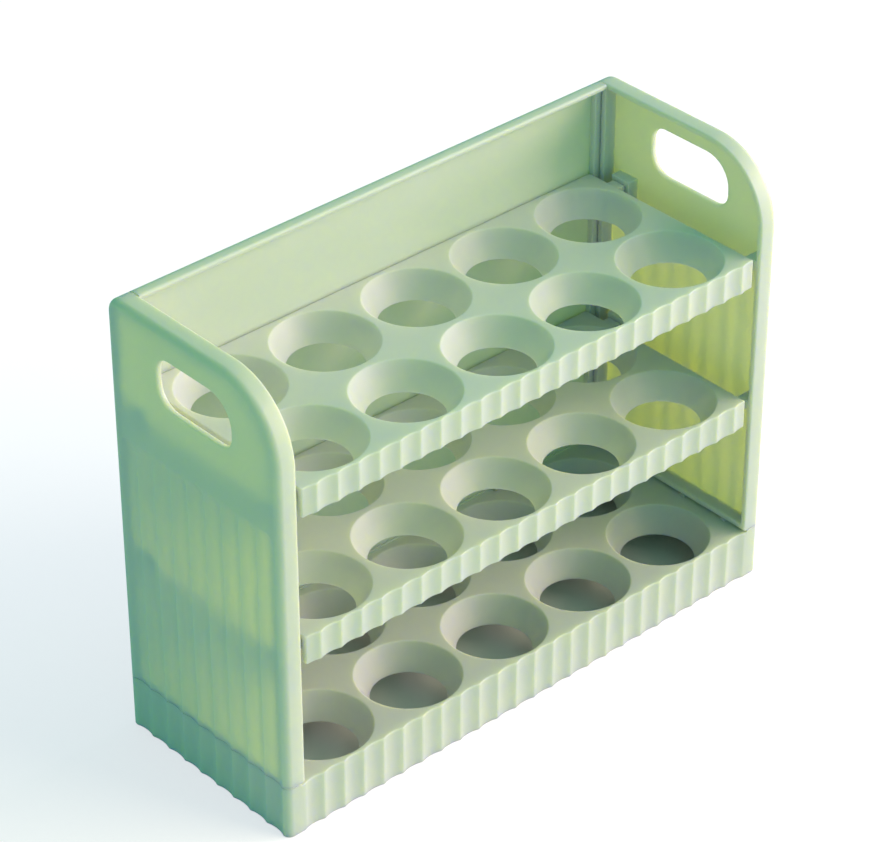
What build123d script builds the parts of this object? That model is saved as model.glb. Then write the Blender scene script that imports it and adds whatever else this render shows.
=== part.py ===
from build123d import *
from math import cos, pi, sin
import os

# Three tier egg holder: a fluted base with cups, two side panels with hand slots, a back panel,
# and two cup trays that hinge near the back and rest on lugs near the front.
# It stands on z = 0 with its front towards -Y, and it is the same on both sides of x = 0.
os.makedirs("parts", exist_ok=True)

# Outside of the whole stand
width = 270.0
depth = 101.5
height = 209.5
corner_radius = 3.2

# Walls and the gaps between mouldings
skirt_wall = 2.4
deck_wall = 2.4
panel_wall = 2.8
back_wall = 2.4
rim_wall = 2.6
rim_width = 9.4
seam_gap = 0.3

# Flutes: hollow scoops that meet in ridges
flute_depth = 1.0
front_flutes = 24
side_flutes = 9
front_plain = 9.0
side_plain = 3.5
flute_end_gap = 26.0
arch_flat_count = 4

# Deck heights of the three tiers
base_deck = 24.0
middle_deck = 95.0
top_deck = 165.0

# Flip trays
tray_lip = 13.4
tray_end_gap = 3.1
tray_rear_gap = 0.7
tray_corner = 1.2

# Cups
cup_columns = 5
cup_rows = 2
cup_radius = 22.65
cup_floor_radius = 16.0
cup_depth = 12.0
cup_wall = 1.8
cup_margin = 2.35
cup_flat_count = 24
funnel_flat_count = 12
cut_over = 1.0
rib_wall = 1.6
rib_depth = 5.0

# Side panel outline and hand slot
front_sweep = 33.0
rear_sweep = 6.5
slot_front = -24.2
slot_rear = 20.2
slot_margin = 13.0
slot_height = 22.5
slot_front_top_radius = 13.0
slot_front_bottom_radius = 7.0
slot_rear_top_radius = 7.0
slot_rear_bottom_radius = 10.0

# Hinge pins of the flip trays, in blind bores of the side panels
pivot_inset = 14.5
pivot_drop = 3.5
pin_radius = 2.6
pin_end_gap = 0.3
pin_clearance = 0.08
collar_size = 6.8
collar_gap = 0.4
bearing_size = 10.4
bearing_setback = 1.0
bore_floor = 0.4

# Rest lugs that carry the front of a flip tray, and the notch that lets it lift off
lug_setback = 4.0
lug_width = 4.0
lug_height = 4.5
lug_reach = 3.5
lug_gap = 0.15
notch_front_gap = 0.5
notch_rear_gap = 1.6

# Seat of the panels on the base
seat_rise = 1.0
seat_inset = 2.0
pad_width = 2.6
pad_count = 4
pad_pitch = 25.0
foot_round = 1.3

# Snap hooks under the panels
hook_wall = 1.8
hook_width = 12.0
hook_length = 10.8
hook_barb = 0.8
barb_height = 3.2
hook_play = 0.3
side_hook_inset = 4.6
side_hook_pitch = 66.0
side_hook_count = 2

# Tongues of the back panel and the wedges that lock them
tongue_play = 0.3
wedge_inset = 2.3
wedge_count = 3
wedge_pitch = 62.0
wedge_height = 10.0
wedge_length = 2.6
wedge_rise = 1.6

half_width = width / 2
half_depth = depth / 2
rim_plane = half_width - rim_width
panel_inner = half_width - panel_wall
panel_base = base_deck + seat_rise + seam_gap
slot_top = height - slot_margin
slot_bottom = slot_top - slot_height
panel_flute_top = slot_bottom - flute_end_gap
back_inner = half_depth - back_wall
tray_half = rim_plane - tray_end_gap
tray_rear = back_inner - tray_rear_gap
tray_depth = tray_rear + half_depth
pivot_y = tray_rear - pivot_inset
skirt_inset = flute_depth + skirt_wall
bearing_face = rim_plane + bearing_setback
bore_depth = panel_inner - bearing_face - bore_floor
column_pitch = 2 * (tray_half - cup_margin - cup_radius) / (cup_columns - 1)
row_pitch = (tray_depth - 2 * (cup_margin + cup_radius)) / (cup_rows - 1)
row_middle = (tray_rear - half_depth) / 2
cup_slope = (cup_radius - cup_floor_radius) / cup_depth


def spread(count, pitch, middle=0.0):
    """Evenly spaced places about a middle value."""
    return [middle + (i - (count - 1) / 2) * pitch for i in range(count)]


column_places = spread(cup_columns, column_pitch)
row_places = spread(cup_rows, row_pitch, row_middle)
rib_columns = spread(cup_columns - 1, column_pitch)
rib_rows = spread(cup_rows - 1, row_pitch, row_middle)
hook_columns = rib_columns
side_hooks = spread(side_hook_count, side_hook_pitch)


def block(x0, x1, y0, y1, z0, z1):
    """A box between two corners."""
    size = Box(x1 - x0, y1 - y0, z1 - z0, align=(Align.MIN, Align.MIN, Align.MIN))
    return Pos(x0, y0, z0) * size


def upright_rod(radius, length):
    """A cylinder that starts at the origin and runs along +Z."""
    return Cylinder(radius, length, align=(Align.CENTER, Align.CENTER, Align.MIN))


def flat_cone(flats, low_radius, high_radius, low, high):
    """A cone frustum drawn with flats, its corners on two circles."""
    points = [Vector(radius, 0, z).rotate(Axis.Z, 360 * i / flats)
              for radius, z in ((low_radius, low), (high_radius, high)) for i in range(flats)]
    return ConvexPolyhedron(points)


def flutes(start, end, count):
    """Scoops along a straight run of an outline that turns counter-clockwise."""
    step = (end - start) * (1 / count)
    inward = step.normalized().rotate(Axis.Z, 90) * flute_depth
    tips = [start + step * i for i in range(count + 1)]
    return [ThreePointArc(a, a + step * 0.5 + inward, b) for a, b in zip(tips, tips[1:])]


def corner(x, y, turn):
    """A quarter round at the outside corner, from one straight face to the next."""
    sx = 1 if x > 0 else -1
    sy = 1 if y > 0 else -1
    centre = Vector(x - sx * corner_radius, y - sy * corner_radius)
    return CenterArc(centre, corner_radius, turn, 90)


def base_outline():
    """Outside of the base: fluted in front and at the ends, flat at the back."""
    ridge_x = half_width - front_plain
    ridge_y = half_depth - side_plain
    round_x = half_width - corner_radius
    round_y = half_depth - corner_radius
    edges = [Line((-round_x, -half_depth), (-ridge_x, -half_depth))]
    edges += flutes(Vector(-ridge_x, -half_depth), Vector(ridge_x, -half_depth), front_flutes)
    edges += [Line((ridge_x, -half_depth), (round_x, -half_depth))]
    edges += [corner(half_width, -half_depth, 270)]
    edges += [Line((half_width, -round_y), (half_width, -ridge_y))]
    edges += flutes(Vector(half_width, -ridge_y), Vector(half_width, ridge_y), side_flutes)
    edges += [Line((half_width, ridge_y), (half_width, round_y))]
    edges += [corner(half_width, half_depth, 0)]
    edges += [Line((round_x, half_depth), (-round_x, half_depth))]
    edges += [corner(-half_width, half_depth, 90)]
    edges += [Line((-half_width, round_y), (-half_width, ridge_y))]
    edges += flutes(Vector(-half_width, ridge_y), Vector(-half_width, -ridge_y), side_flutes)
    edges += [Line((-half_width, -ridge_y), (-half_width, -round_y))]
    edges += [corner(-half_width, -half_depth, 180)]
    return make_face(Wire(edges))


def tray_outline():
    """Outside of a flip tray: the front flutes of the base, cut off at the tray's ends."""
    ridge_x = half_width - front_plain
    edges = flutes(Vector(-ridge_x, -half_depth), Vector(ridge_x, -half_depth), front_flutes)
    edges += Polyline((ridge_x, -half_depth), (ridge_x, half_depth), (-ridge_x, half_depth),
                      (-ridge_x, -half_depth)).edges()
    fluted = make_face(Wire(edges))
    plan = Pos(0, row_middle) * RectangleRounded(2 * tray_half, tray_depth, tray_corner)
    return fluted & plan


def cup_walls(deck):
    """Funnels that hang under a deck."""
    top = deck - deck_wall / 2
    bottom = deck - cup_depth
    slack = cos(pi / funnel_flat_count)
    low_radius = (cup_floor_radius + cup_wall) / slack
    high_radius = (cup_radius + cup_wall - (deck - top) * cup_slope) / slack
    funnel = flat_cone(funnel_flat_count, low_radius, high_radius, bottom, top)
    return [Pos(x, y) * funnel for x in column_places for y in row_places]


def cup_hollows(deck):
    """The space inside each cup, open above and below."""
    spare = cut_over * cup_slope
    hollow = flat_cone(cup_flat_count, cup_floor_radius - spare, cup_radius + spare,
                       deck - cup_depth - cut_over, deck + cut_over)
    return [Pos(x, y) * hollow for x in column_places for y in row_places]


def deck_ribs(deck, x_end, y_front, y_rear):
    """Stiffening ribs under a deck, between the columns and the rows of cups."""
    low = deck - deck_wall - rib_depth
    top = deck - deck_wall / 2
    half = rib_wall / 2
    ribs = [block(x - half, x + half, y_front, y_rear, low, top) for x in rib_columns]
    ribs += [block(-x_end, x_end, y - half, y + half, low, top) for y in rib_rows]
    return ribs


def hook_profile(root, latch):
    """Side view of a snap hook that hangs from root and catches below latch."""
    tip = root - hook_length
    catch = latch - hook_play
    return make_face(Polyline((0, root), (hook_wall, root), (hook_wall, tip), (hook_wall / 3, tip),
                              (-hook_barb, catch - barb_height / 2), (-hook_barb, catch),
                              (0, catch), close=True))


side_hook_x = half_width - side_hook_inset - hook_wall
back_hook_y = back_inner - hook_play * 2 - hook_wall
hook_latch = base_deck - deck_wall


def base_tray():
    """Bottom moulding: skirt, deck with ten cups, seat strips and hook slots."""
    outline = base_outline()
    seat_top = base_deck + seat_rise
    strip_x = rim_plane + seat_inset
    body = extrude(outline, seat_top)
    body -= block(-strip_x, strip_x, -half_depth, back_inner, base_deck, seat_top)
    hollow_x = half_width - skirt_inset
    hollow = RectangleRounded(2 * hollow_x, 2 * half_depth - skirt_inset - skirt_wall, corner_radius / 2)
    body -= extrude(Pos(0, (skirt_inset - skirt_wall) / 2) * hollow, hook_latch)
    body += cup_walls(base_deck)
    body += deck_ribs(base_deck, hollow_x + skirt_wall / 2, -half_depth + skirt_inset - skirt_wall / 2,
                      back_inner + skirt_wall / 2)
    pads = []
    for y in spread(pad_count, pad_pitch):
        pad = block(rim_plane + seam_gap, strip_x, y - pad_width / 2, y + pad_width / 2, base_deck, seat_top)
        pads += [pad, mirror(pad, Plane.YZ)]
    body += pads
    reach = hook_width / 2 + hook_play
    slots = []
    for y in side_hooks:
        slot = block(side_hook_x - hook_play, side_hook_x + hook_wall + hook_play, y - reach, y + reach,
                     hook_latch, seat_top)
        slots += [slot, mirror(slot, Plane.YZ)]
    for x in hook_columns:
        slots += [block(x - reach, x + reach, back_hook_y - hook_play, back_hook_y + hook_wall + hook_play,
                        hook_latch, seat_top),
                  block(x - reach, x + reach, back_hook_y - hook_barb - hook_play,
                        back_hook_y + hook_wall + hook_play, hook_latch - rib_depth, hook_latch)]
    return body - cup_hollows(base_deck) - slots


def panel_outline(inset, foot_radius=0.0):
    """Side view of a side panel, drawn in from its outside by an inset."""
    front = -half_depth + inset
    rear = half_depth - inset
    foot = panel_base + inset
    top = height - inset
    drawn = make_face(Polyline((front, foot), (rear, foot), (rear, top), (front, top), close=True))
    points = drawn.vertices()
    drawn = fillet(points.group_by(Axis.Y)[-1].sort_by(Axis.X)[0], front_sweep - inset)
    drawn = fillet(drawn.vertices().group_by(Axis.Y)[-1].sort_by(Axis.X)[-1], rear_sweep - inset)
    if foot_radius > 0:
        drawn = fillet(drawn.vertices().group_by(Axis.Y)[0], foot_radius)
    return drawn


def hand_slot():
    """Side view of the hand slot, with its own radius at each corner."""
    drawn = make_face(Polyline((slot_front, slot_bottom), (slot_rear, slot_bottom), (slot_rear, slot_top),
                               (slot_front, slot_top), close=True))
    radii = {(slot_front, slot_top): slot_front_top_radius,
             (slot_front, slot_bottom): slot_front_bottom_radius,
             (slot_rear, slot_top): slot_rear_top_radius,
             (slot_rear, slot_bottom): slot_rear_bottom_radius}
    for place, radius in radii.items():
        point = drawn.vertices().sort_by_distance((place[0], place[1], 0))[0]
        drawn = fillet(point, radius)
    return drawn


def panel_scoops():
    """Upright scoops of a side panel with rounded upper ends, in line with those of the base."""
    pitch = 2 * (half_depth - side_plain) / side_flutes
    radius = (pitch ** 2 / 4 + flute_depth ** 2) / (2 * flute_depth)
    deepest = half_width - flute_depth
    end_z = panel_flute_top - pitch / 2
    arch = [(pitch / 2 * cos(pi * i / arch_flat_count), end_z + pitch / 2 * sin(pi * i / arch_flat_count))
            for i in range(arch_flat_count + 1)]
    outline = make_face(Polyline((-pitch / 2, base_deck), (pitch / 2, base_deck), *arch, close=True))
    groove = Pos(deepest + radius, 0, 0) * upright_rod(radius, panel_flute_top)
    scoop = groove & extrude(Plane.YZ.offset(deepest) * outline, flute_depth)
    return [Pos(0, y) * scoop for y in spread(side_flutes, pitch)]


def right_panel():
    """Side panel: thin fluted wall in a deep rim, with hand slot, bearings, lugs, channel and hooks."""
    side = Plane.YZ.offset(rim_plane)
    body = extrude(side * panel_outline(0), rim_width)
    outer = body.edges().group_by(Axis.X)[-1]
    body = fillet(outer.sort_by(Axis.Z)[1:], corner_radius)
    body -= extrude(side * panel_outline(rim_wall, foot_round), panel_inner - rim_plane)
    recess_rear = half_depth - rim_wall
    rib_rear = recess_rear - back_wall - 2 * tongue_play
    body += block(rim_plane + seam_gap, panel_inner, rib_rear - rim_wall, rib_rear,
                  panel_base + rim_wall, height - rim_wall)
    lug_front = -half_depth + lug_setback
    for deck in (middle_deck, top_deck):
        pivot_z = deck - pivot_drop
        body += block(bearing_face, panel_inner, pivot_y - bearing_size / 2, pivot_y + bearing_size / 2,
                      pivot_z - bearing_size / 2, pivot_z + bearing_size / 2)
        bore = Rot(0, 90, 0) * upright_rod(pin_radius + pin_clearance, bore_depth)
        body -= Pos(bearing_face, pivot_y, pivot_z) * bore
        lug_top = deck - deck_wall - lug_gap
        body += block(tray_half - lug_reach, panel_inner, lug_front, lug_front + lug_width,
                      lug_top - lug_height, lug_top)
        body += block(rim_plane, panel_inner, -half_depth + rim_wall, lug_front,
                      lug_top - lug_height, lug_top)
    for z in spread(wedge_count, wedge_pitch, (panel_base + height) / 2):
        x0 = rim_plane + wedge_inset
        wedge = make_face(Polyline((x0, recess_rear), (x0 + wedge_length, recess_rear),
                                   (x0 + wedge_length, recess_rear - wedge_rise), close=True))
        body += extrude(Pos(0, 0, z - wedge_height / 2) * wedge, wedge_height)
    body -= panel_scoops()
    body -= extrude(side * hand_slot(), rim_width)
    hook = Pos(side_hook_x, 0, 0) * (Plane.XZ * hook_profile(panel_base, hook_latch))
    for y in side_hooks:
        body += extrude(Pos(0, y, 0) * hook, hook_width / 2, both=True)
    return body


def back_panel():
    """Back panel: wall with a rolled top rim, end tongues with windows, and four hooks."""
    wall_end = rim_plane - seam_gap
    rim_front = half_depth - rim_width
    inside_top = height - rim_wall
    outer_corner = (half_depth, height)
    inner_corner = (back_inner, inside_top)
    section = make_face(Polyline((back_inner, panel_base), (half_depth, panel_base), outer_corner,
                                 (rim_front, height), (rim_front, inside_top), inner_corner, close=True))
    section = fillet(section.vertices().sort_by_distance((*outer_corner, 0))[0], rear_sweep)
    section = fillet(section.vertices().sort_by_distance((*inner_corner, 0))[0], rear_sweep - rim_wall)
    body = extrude(Plane.YZ.offset(-wall_end) * section, 2 * wall_end)
    tongue_rear = half_depth - rim_wall - tongue_play
    tongue_front = tongue_rear - back_wall
    tongue_end = panel_inner - tongue_play
    root = wall_end - back_wall
    tongue = extrude(
        Plane.YZ.offset(root) * panel_outline(rim_wall + tongue_play, foot_round), tongue_end - root
    )
    tongue &= block(root, tongue_end, tongue_front, tongue_rear, panel_base, height)
    tongue += block(root, wall_end, tongue_rear, back_inner, panel_base + rim_wall, height - rear_sweep)
    reach = wedge_height / 2 + tongue_play
    window_x = rim_plane + wedge_inset - tongue_play
    for z in spread(wedge_count, wedge_pitch, (panel_base + height) / 2):
        tongue -= block(window_x, window_x + wedge_length + 2 * tongue_play, tongue_front, tongue_rear,
                        z - reach, z + reach)
    body += [tongue, mirror(tongue, Plane.YZ)]
    hook = Pos(0, back_hook_y, 0) * (Plane.YZ * hook_profile(panel_base, hook_latch))
    for x in hook_columns:
        body += extrude(Pos(x, 0, 0) * hook, hook_width / 2, both=True)
        body += block(x - hook_width / 2, x + hook_width / 2, back_hook_y, back_inner,
                      panel_base, panel_base + rim_wall)
    return body


def flip_tray(deck):
    """Flip tray: fluted lip, deck with ten cups, ribs, hinge pins and lug notches."""
    foot = deck - tray_lip
    body = Pos(0, 0, foot) * extrude(tray_outline(), tray_lip)
    inner_front = -half_depth + skirt_inset
    inner_rear = tray_rear - skirt_wall
    inner_x = tray_half - skirt_wall
    hollow = RectangleRounded(2 * inner_x, inner_rear - inner_front, tray_corner)
    body -= Pos(0, (inner_front + inner_rear) / 2, foot) * extrude(hollow, tray_lip - deck_wall)
    body += cup_walls(deck)
    body += deck_ribs(deck, inner_x + skirt_wall / 2, inner_front - skirt_wall / 2,
                      inner_rear + skirt_wall / 2)
    collar_end = bearing_face - collar_gap
    notch_front = -half_depth + lug_setback - notch_front_gap
    notch_rear = -half_depth + lug_setback + lug_width + notch_rear_gap
    notch = block(inner_x - cut_over, tray_half + cut_over, notch_front, notch_rear,
                  foot - cut_over, deck - deck_wall)
    pivot_z = deck - pivot_drop
    pin = block(inner_x, collar_end, pivot_y - collar_size / 2, pivot_y + collar_size / 2,
                pivot_z - collar_size / 2, pivot_z + collar_size / 2)
    rod = Rot(0, 90, 0) * upright_rod(pin_radius, collar_gap + bore_depth - pin_end_gap)
    pin += Pos(collar_end, pivot_y, pivot_z) * rod
    body += [pin, mirror(pin, Plane.YZ)]
    return body - [notch, mirror(notch, Plane.YZ)] - cup_hollows(deck)


panel = right_panel()
nodes = {
    "base_tray": base_tray(),
    "right_side_panel": panel,
    "left_side_panel": mirror(panel, Plane.YZ),
    "back_panel": back_panel(),
    "middle_tray": flip_tray(middle_deck),
    "top_tray": flip_tray(top_deck),
}
for name, shape in nodes.items():
    export_step(shape, f"parts/{name}.step")
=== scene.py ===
"""Three-tier egg holder in tinted plastic: fluted base, side panels, back panel and two flip trays.

Sizes are in millimetres while a form is built, and each finished mesh is scaled to metres.
X runs along the holder, the open front faces -Y, and Z is up.
"""

import logging
import math
from collections.abc import Callable
from dataclasses import dataclass, field
from enum import Enum

import bmesh
import bpy
from bmesh.types import BMEdge, BMFace, BMVert
from mathutils import Matrix, Vector


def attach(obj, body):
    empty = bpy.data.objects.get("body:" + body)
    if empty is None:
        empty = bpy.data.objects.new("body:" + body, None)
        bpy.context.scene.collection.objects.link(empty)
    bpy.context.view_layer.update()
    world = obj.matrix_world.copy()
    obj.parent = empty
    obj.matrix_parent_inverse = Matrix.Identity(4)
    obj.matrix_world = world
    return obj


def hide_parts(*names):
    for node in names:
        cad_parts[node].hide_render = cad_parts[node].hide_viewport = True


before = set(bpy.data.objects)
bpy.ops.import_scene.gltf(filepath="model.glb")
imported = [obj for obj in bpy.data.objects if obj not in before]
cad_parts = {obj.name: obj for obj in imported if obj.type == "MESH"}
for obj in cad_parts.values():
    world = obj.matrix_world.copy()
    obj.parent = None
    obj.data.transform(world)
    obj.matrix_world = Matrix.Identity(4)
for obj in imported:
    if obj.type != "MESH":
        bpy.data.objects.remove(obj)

LOG = logging.getLogger("egg_holder")
MM = 0.001
# How far a cut reaches past a face, what counts as level, the room that a test leaves,
# and how far a face that is joined on sinks.
AWAY, NEAR, ROOM, SINK = 3.0, 0.01, 0.1, 0.02
Test = Callable[[Vector], bool]
Point = tuple[float, float]
Place = tuple[float, float, float]
Colour = tuple[float, float, float, float]
Key = int | str


class Joint(Enum):
    """How one closed form meets another."""

    ADD = "UNION"
    CUT = "DIFFERENCE"
    KEEP = "INTERSECT"


class Body(Enum):
    """The moving bodies that pieces ride on."""

    STAND = "stand"
    MIDDLE = "middle_flip_tray"
    TOP = "top_flip_tray"


@dataclass(frozen=True)
class Sizes:
    """Sizes that more than one moulding shares, in millimetres."""

    half_width: float = 135.0
    half_depth: float = 50.75
    height: float = 209.5
    corner: float = 3.2
    deck_wall: float = 2.4
    skirt_wall: float = 2.4
    rim_wall: float = 2.6
    back_wall: float = 2.4
    flute_depth: float = 1.0
    flute_pitch: float = 10.5
    flute_steps: int = 8
    ridge: float = 0.6
    front_flutes: int = 24
    side_flutes: int = 9
    base_deck: float = 24.0
    middle_deck: float = 95.0
    top_deck: float = 165.0
    seat_top: float = 25.0
    panel_base: float = 25.3
    rim_plane: float = 125.6
    panel_inner: float = 132.2
    back_inner: float = 48.35
    tray_half: float = 122.5
    tray_rear: float = 47.65
    pivot_y: float = 33.15
    pivot_drop: float = 3.5
    hook_length: float = 10.8
    hook_wall: float = 1.8
    hook_width: float = 12.0
    cup_columns: int = 5
    cup_pitch: float = 48.75
    side_hooks: int = 2
    side_hook_pitch: float = 66.0
    wedges: int = 3
    wedge_pitch: float = 62.0

    def spread(self, count: int, pitch: float, middle: float = 0.0) -> list[float]:
        """Evenly spaced places about a middle value."""
        return [middle + (i - (count - 1) / 2) * pitch for i in range(count)]

    def between_cups(self) -> list[float]:
        """The places along the holder midway between the columns of cups."""
        return self.spread(self.cup_columns - 1, self.cup_pitch)

    def side_hook_places(self) -> list[float]:
        """The places across the holder of a side panel's hooks."""
        return self.spread(self.side_hooks, self.side_hook_pitch)

    def wedge_levels(self) -> list[float]:
        """The heights of the wedges and of the windows that catch on them."""
        return self.spread(self.wedges, self.wedge_pitch, (self.panel_base + self.height) / 2)


SIZES = Sizes()


class Form:
    """A closed form under construction, in millimetres."""

    def __init__(self) -> None:
        """Start with an empty mesh."""
        self.bm = bmesh.new()

    def plate(self, low: Point, high: Point, level: float = 0.0) -> BMFace:
        """One flat rectangle that faces +Z.

        Args:
            low: Its corner with the least x and y.
            high: Its corner with the most x and y.
            level: Its height.

        Returns:
            The rectangle's face.
        """
        size = Vector(high) - Vector(low)
        middle = (Vector(high) + Vector(low)) / 2
        place = Matrix.Translation((*middle, level)) @ Matrix.Diagonal((*size, 1, 1))
        made = bmesh.ops.create_grid(self.bm, x_segments=1, y_segments=1, size=0.5, matrix=place)
        return made["verts"][0].link_faces[0]

    def box(self, low: Place, high: Place, soft: float = 0.0, where: Test | None = None) -> None:
        """A block between two corners, its edges rounded where asked.

        Args:
            low: The corner with the least x, y and z.
            high: The corner with the most x, y and z.
            soft: Radius of the rounded edges, or 0 for none.
            where: Which edges are rounded, by a test that both ends pass.
        """
        size = Vector(high) - Vector(low)
        middle = (Vector(high) + Vector(low)) / 2
        place = Matrix.Translation(middle) @ Matrix.Diagonal((*size, 1))
        made = bmesh.ops.create_cube(self.bm, size=1.0, matrix=place)
        if soft > 0:
            edges = dict.fromkeys(e for v in made["verts"] for e in v.link_edges)
            self.bevel([e for e in edges if where is None or all(where(v.co) for v in e.verts)], soft, 2)

    def cone(self, middle: Point, low: Point, high: Point, steps: int = 64, soft: float = 0.0) -> None:
        """An upright cone frustum with closed ends.

        Args:
            middle: Where its axis stands.
            low: Radius and height of the lower end.
            high: Radius and height of the upper end.
            steps: Number of sides.
            soft: Radius that rounds the lower edge, or 0 for none.
        """
        place = Matrix.Translation((*middle, (low[1] + high[1]) / 2))
        made = bmesh.ops.create_cone(self.bm, cap_ends=True, segments=steps, radius1=low[0],
                                     radius2=high[0], depth=high[1] - low[1], matrix=place)
        if soft > 0:
            edges = dict.fromkeys(e for v in made["verts"] for e in v.link_edges)
            foot = [e for e in edges if all(v.co.z < low[1] + NEAR for v in e.verts)]
            self.bevel(foot, soft, 3)

    def start(self, place: Place) -> BMVert:
        """The first point of an outline."""
        return bmesh.ops.create_vert(self.bm, co=place)["vert"][0]

    def line(self, last: BMVert, *places: Place) -> BMVert:
        """Straight edges from the last point of an outline through new places.

        Args:
            last: The outline's last point.
            places: The points that follow.

        Returns:
            The outline's new last point.
        """
        for place in places:
            made = bmesh.ops.extrude_vert_indiv(self.bm, verts=[last])
            last = made["verts"][0]
            last.co = Vector(place)
        return last

    def arc(self, last: BMVert, centre: Place, degrees: float, steps: int, axis: Place = (0, 0, 1)) -> BMVert:
        """An arc from the last point of an outline about a centre.

        Args:
            last: The outline's last point.
            centre: A point of the axis that it turns about.
            degrees: The turn, positive by the right-hand rule.
            steps: Number of edges.
            axis: Direction of the axis.

        Returns:
            The arc's end.
        """
        made = bmesh.ops.spin(self.bm, geom=[last], cent=centre, axis=axis, dvec=(0, 0, 0),
                              angle=math.radians(degrees), steps=steps)
        return made["geom_last"][0]

    def close(self, first: BMVert, last: BMVert) -> BMFace:
        """Join an outline's ends where they differ, and fill it with one face.

        Args:
            first: The outline's first point.
            last: Its last point.

        Returns:
            The face that fills it.
        """
        if (first.co - last.co).length > 1e-4:
            bmesh.ops.contextual_create(self.bm, geom=[first, last])
        self.weld()
        made = bmesh.ops.contextual_create(self.bm, geom=[e for e in self.bm.edges if e.is_wire])
        return made["faces"][0]

    def round_corner(self, near: Point, radius: float, steps: int = 4) -> None:
        """Round the corner of a flat outline that lies nearest to a place."""
        corner = min(self.bm.verts, key=lambda v: (v.co.xy - Vector(near)).length)
        self.round_points([corner], radius, steps)

    def round_points(self, points: list[BMVert], radius: float, steps: int) -> BMFace:
        """Round some corners of a flat outline, by a distance along its edges.

        Args:
            points: The corners.
            radius: The radius of a square corner's arc.
            steps: Number of edges in each arc.

        Returns:
            The outline's face.
        """
        made = bmesh.ops.bevel(self.bm, geom=points, offset=radius, segments=steps, profile=0.5,
                               affect="VERTICES", material=-1)
        return made["verts"][0].link_faces[0]

    def grow(self, step: Place, faces: list[BMFace] | None = None) -> list[BMFace]:
        """Push faces along a step so that they become a solid, or the floor of a hollow.

        Args:
            step: How far they go.
            faces: The faces to push, or none for all.

        Returns:
            The faces where they end.
        """
        faces = faces or self.bm.faces[:]
        edges = dict.fromkeys(e for f in faces for e in f.edges)
        made = bmesh.ops.extrude_face_region(self.bm, geom=[*faces, *edges])["geom"]
        moved = [g for g in made if isinstance(g, BMVert)]
        bmesh.ops.translate(self.bm, verts=moved, vec=step)
        return [g for g in made if isinstance(g, BMFace)]

    def corners(self, where: Test, least: float = 20.0) -> list[BMEdge]:
        """Edges between faces that turn by more than a least angle.

        Args:
            where: The test that both ends pass.
            least: The least angle in degrees.

        Returns:
            The edges.
        """
        found = [e for e in self.bm.edges if len(e.link_faces) == 2 and all(where(v.co) for v in e.verts)]
        return [e for e in found if math.degrees(e.calc_face_angle(0.0)) > least]

    def open_edges(self, where: Test) -> list[BMEdge]:
        """Edges with one face, both ends inside a test."""
        return [e for e in self.bm.edges if e.is_boundary and all(where(v.co) for v in e.verts)]

    def bevel(self, edges: list[BMEdge], radius: float, steps: int) -> None:
        """Round edges to a radius."""
        bmesh.ops.bevel(self.bm, geom=edges, offset=radius, segments=steps, profile=0.5,
                        affect="EDGES", material=-1, clamp_overlap=True)

    def turn(self, steps: int = 64) -> None:
        """Turn a profile that starts and ends on the Z axis into a closed round form.

        Args:
            steps: Number of sides.
        """
        bmesh.ops.spin(self.bm, geom=self.bm.verts[:] + self.bm.edges[:], cent=(0, 0, 0), axis=(0, 0, 1),
                       dvec=(0, 0, 0), angle=math.tau, steps=steps, use_merge=True)
        self.tidy()

    def repeat(self, places: list[Place]) -> None:
        """Copy the whole form to each place, in place of the original.

        Args:
            places: How far each copy moves.
        """
        whole = self.bm.verts[:] + self.bm.edges[:] + self.bm.faces[:]
        for place in places[1:]:
            made = bmesh.ops.duplicate(self.bm, geom=whole)["geom"]
            bmesh.ops.translate(self.bm, verts=[g for g in made if isinstance(g, BMVert)], vec=place)
        bmesh.ops.translate(self.bm, verts=[g for g in whole if isinstance(g, BMVert)], vec=places[0])

    def place(self, matrix: Matrix) -> None:
        """Move or turn the whole form."""
        bmesh.ops.transform(self.bm, matrix=matrix, verts=self.bm.verts)

    def mirrored(self) -> "Form":
        """A copy on the other side of the plane x = 0."""
        other = Form()
        other.bm = self.bm.copy()
        bmesh.ops.scale(other.bm, vec=(-1, 1, 1), verts=other.bm.verts)
        other.tidy()
        return other

    def weld(self) -> None:
        """Merge points that lie together."""
        bmesh.ops.remove_doubles(self.bm, verts=self.bm.verts, dist=0.002)

    def tidy(self) -> None:
        """Weld the form and point its faces outwards."""
        self.weld()
        bmesh.ops.dissolve_degenerate(self.bm, dist=0.001, edges=self.bm.edges)
        bmesh.ops.recalc_face_normals(self.bm, faces=self.bm.faces)

    def as_object(self, name: str) -> bpy.types.Object:
        """A scene object that holds a copy of the form as it is.

        Args:
            name: The object's name.

        Returns:
            The object.
        """
        mesh = bpy.data.meshes.new(name)
        self.bm.to_mesh(mesh)
        thing = bpy.data.objects.new(name, mesh)
        bpy.context.scene.collection.objects.link(thing)
        return thing

    def fit(self, other: "Form", how: Joint) -> None:
        """Join this form to another closed form, or cut it by that form.

        Args:
            other: The other form, which is used up.
            how: Whether the other form is added, cut away or kept.
        """
        self.tidy()
        other.tidy()
        mine, tool = self.as_object("body"), other.as_object("tool")
        boolean = mine.modifiers.new("fit", "BOOLEAN")
        boolean.operation = how.value
        boolean.solver = "EXACT"
        boolean.object = tool
        graph = bpy.context.evaluated_depsgraph_get()
        made = bpy.data.meshes.new_from_object(mine.evaluated_get(graph))
        self.bm.free()
        self.bm = bmesh.new()
        self.bm.from_mesh(made)
        for thing in (mine, tool):
            mesh = thing.data
            bpy.data.objects.remove(thing)
            bpy.data.meshes.remove(mesh)
        bpy.data.meshes.remove(made)
        other.bm.free()
        self.tidy()


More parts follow.
